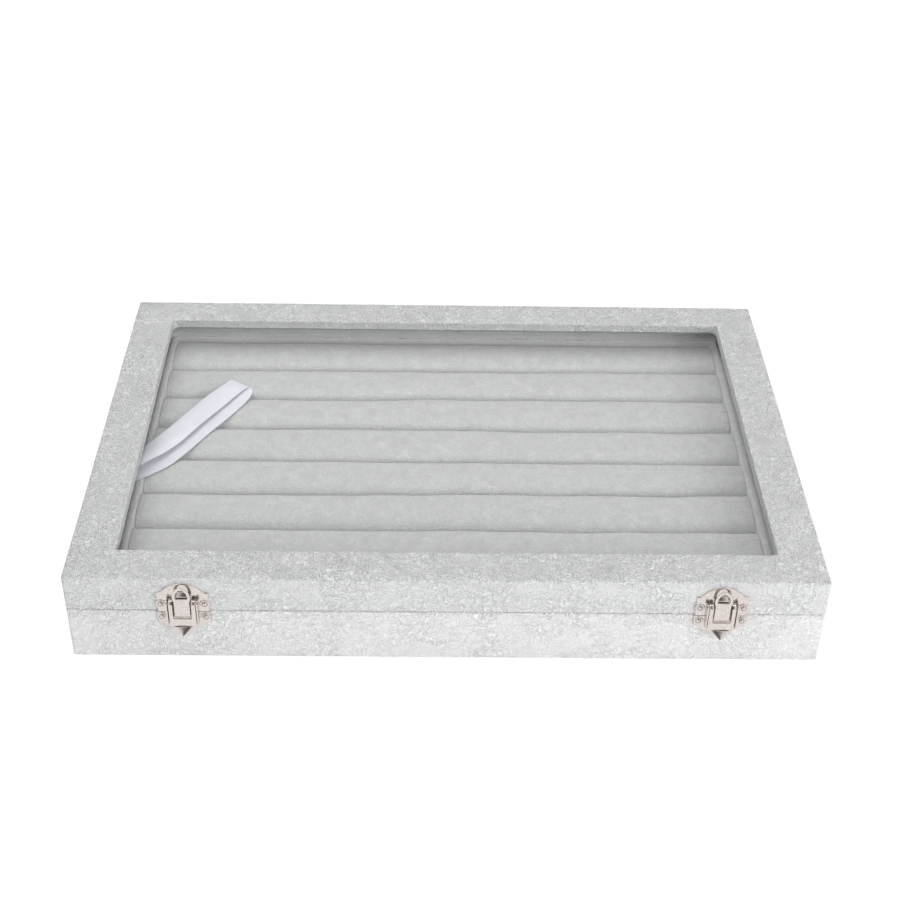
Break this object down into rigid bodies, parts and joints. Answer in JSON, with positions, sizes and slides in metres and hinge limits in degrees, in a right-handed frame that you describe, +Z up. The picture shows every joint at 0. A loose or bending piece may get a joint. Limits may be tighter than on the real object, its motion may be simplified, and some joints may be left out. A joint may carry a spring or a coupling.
{
  "type": "ring display box",
  "caption": "Flat velvet-wrapped jewellery box with ring rolls inside, a hinged lid with a glass window, and toggle latches on the front.",
  "frame": {"origin": "centre of the underside of the base", "axes": "+X to the right along the length, -Y towards the latched front, +Z up"},
  "size_m": [0.35, 0.2504, 0.048],
  "materials": {
    "outer_velvet": "crushed short-pile velvet, light grey",
    "lining_velvet": "short-pile velvet, light grey",
    "board": "medium-density fibreboard, unfinished",
    "card": "grey card, matte",
    "foam": "soft polyurethane foam",
    "glass": "clear float glass",
    "satin_ribbon": "white satin",
    "nickel_plate": "bright nickel plate on stamped steel"
  },
  "bodies": {
    "base": {"base_underside_paper": "card", "base_bottom_board": "board", "base_front_wall": "board", "base_back_wall": "board", "base_left_wall": "board", "base_right_wall": "board", "base_velvet_wrap": "outer_velvet", "base_lining": "lining_velvet", "roll_tray_card": "card", "end_strip_left": "lining_velvet", "end_strip_right": "lining_velvet", "roll_core_1": "foam", "roll_core_2": "foam", "roll_core_3": "foam", "roll_core_4": "foam", "roll_core_5": "foam", "roll_core_6": "foam", "roll_core_7": "foam", "roll_core_8": "foam", "roll_cover_1": "lining_velvet", "roll_cover_2": "lining_velvet", "roll_cover_3": "lining_velvet", "roll_cover_4": "lining_velvet", "roll_cover_5": "lining_velvet", "roll_cover_6": "lining_velvet", "roll_cover_7": "lining_velvet", "roll_cover_8": "lining_velvet", "hinge_base_leaf_left": "nickel_plate", "hinge_base_leaf_right": "nickel_plate", "hinge_pin_left": "nickel_plate", "hinge_pin_right": "nickel_plate", "hinge_base_nails": "nickel_plate", "latch_base_plate_left": "nickel_plate", "latch_base_plate_right": "nickel_plate", "latch_pivot_rivets_left": "nickel_plate", "latch_pivot_rivets_right": "nickel_plate", "latch_base_nails": "nickel_plate", "stay_ribbon": "satin_ribbon"},
    "lid": {"lid_front_wall": "board", "lid_back_wall": "board", "lid_left_wall": "board", "lid_right_wall": "board", "lid_top_frame": "board", "lid_velvet_wrap": "outer_velvet", "lid_lining": "lining_velvet", "glass_pane": "glass", "glass_retaining_frame": "lining_velvet", "hinge_lid_leaf_left": "nickel_plate", "hinge_lid_leaf_right": "nickel_plate", "hinge_lid_nails": "nickel_plate", "latch_catch_plate_left": "nickel_plate", "latch_catch_plate_right": "nickel_plate", "latch_lid_nails": "nickel_plate"},
    "latch_lever_left": {"latch_lever_left": "nickel_plate", "latch_link_pin_left": "nickel_plate"},
    "latch_lever_right": {"latch_lever_right": "nickel_plate", "latch_link_pin_right": "nickel_plate"},
    "latch_link_left": {"latch_link_left": "nickel_plate"},
    "latch_link_right": {"latch_link_right": "nickel_plate"}
  },
  "joints": [
    {"name": "lid_hinge", "type": "hinge", "parent": "base", "child": "lid", "pos_m": [0, 0.12215, 0.0288], "axis": [-1, 0, 0], "range_deg": [0, 95], "deforming": ["stay_ribbon"]},
    {"name": "latch_lever_left_swing", "type": "hinge", "parent": "base", "child": "latch_lever_left", "pos_m": [-0.121, -0.1231, 0.0357], "axis": [-1, 0, 0], "range_deg": [0, 105]},
    {"name": "latch_link_left_swing", "type": "hinge", "parent": "latch_lever_left", "child": "latch_link_left", "pos_m": [-0.121, -0.12255, 0.0285], "axis": [-1, 0, 0], "range_deg": [-90, 0]},
    {"name": "latch_lever_right_swing", "type": "hinge", "parent": "base", "child": "latch_lever_right", "pos_m": [0.126, -0.1231, 0.0357], "axis": [-1, 0, 0], "range_deg": [0, 105]},
    {"name": "latch_link_right_swing", "type": "hinge", "parent": "latch_lever_right", "child": "latch_link_right", "pos_m": [0.126, -0.12255, 0.0285], "axis": [-1, 0, 0], "range_deg": [-90, 0]}
  ],
  "couplings": [
    {"joint": "latch_link_left_swing", "follows": "latch_lever_left_swing", "ratio": -0.85},
    {"joint": "latch_link_right_swing", "follows": "latch_lever_right_swing", "ratio": -0.85}
  ]
}
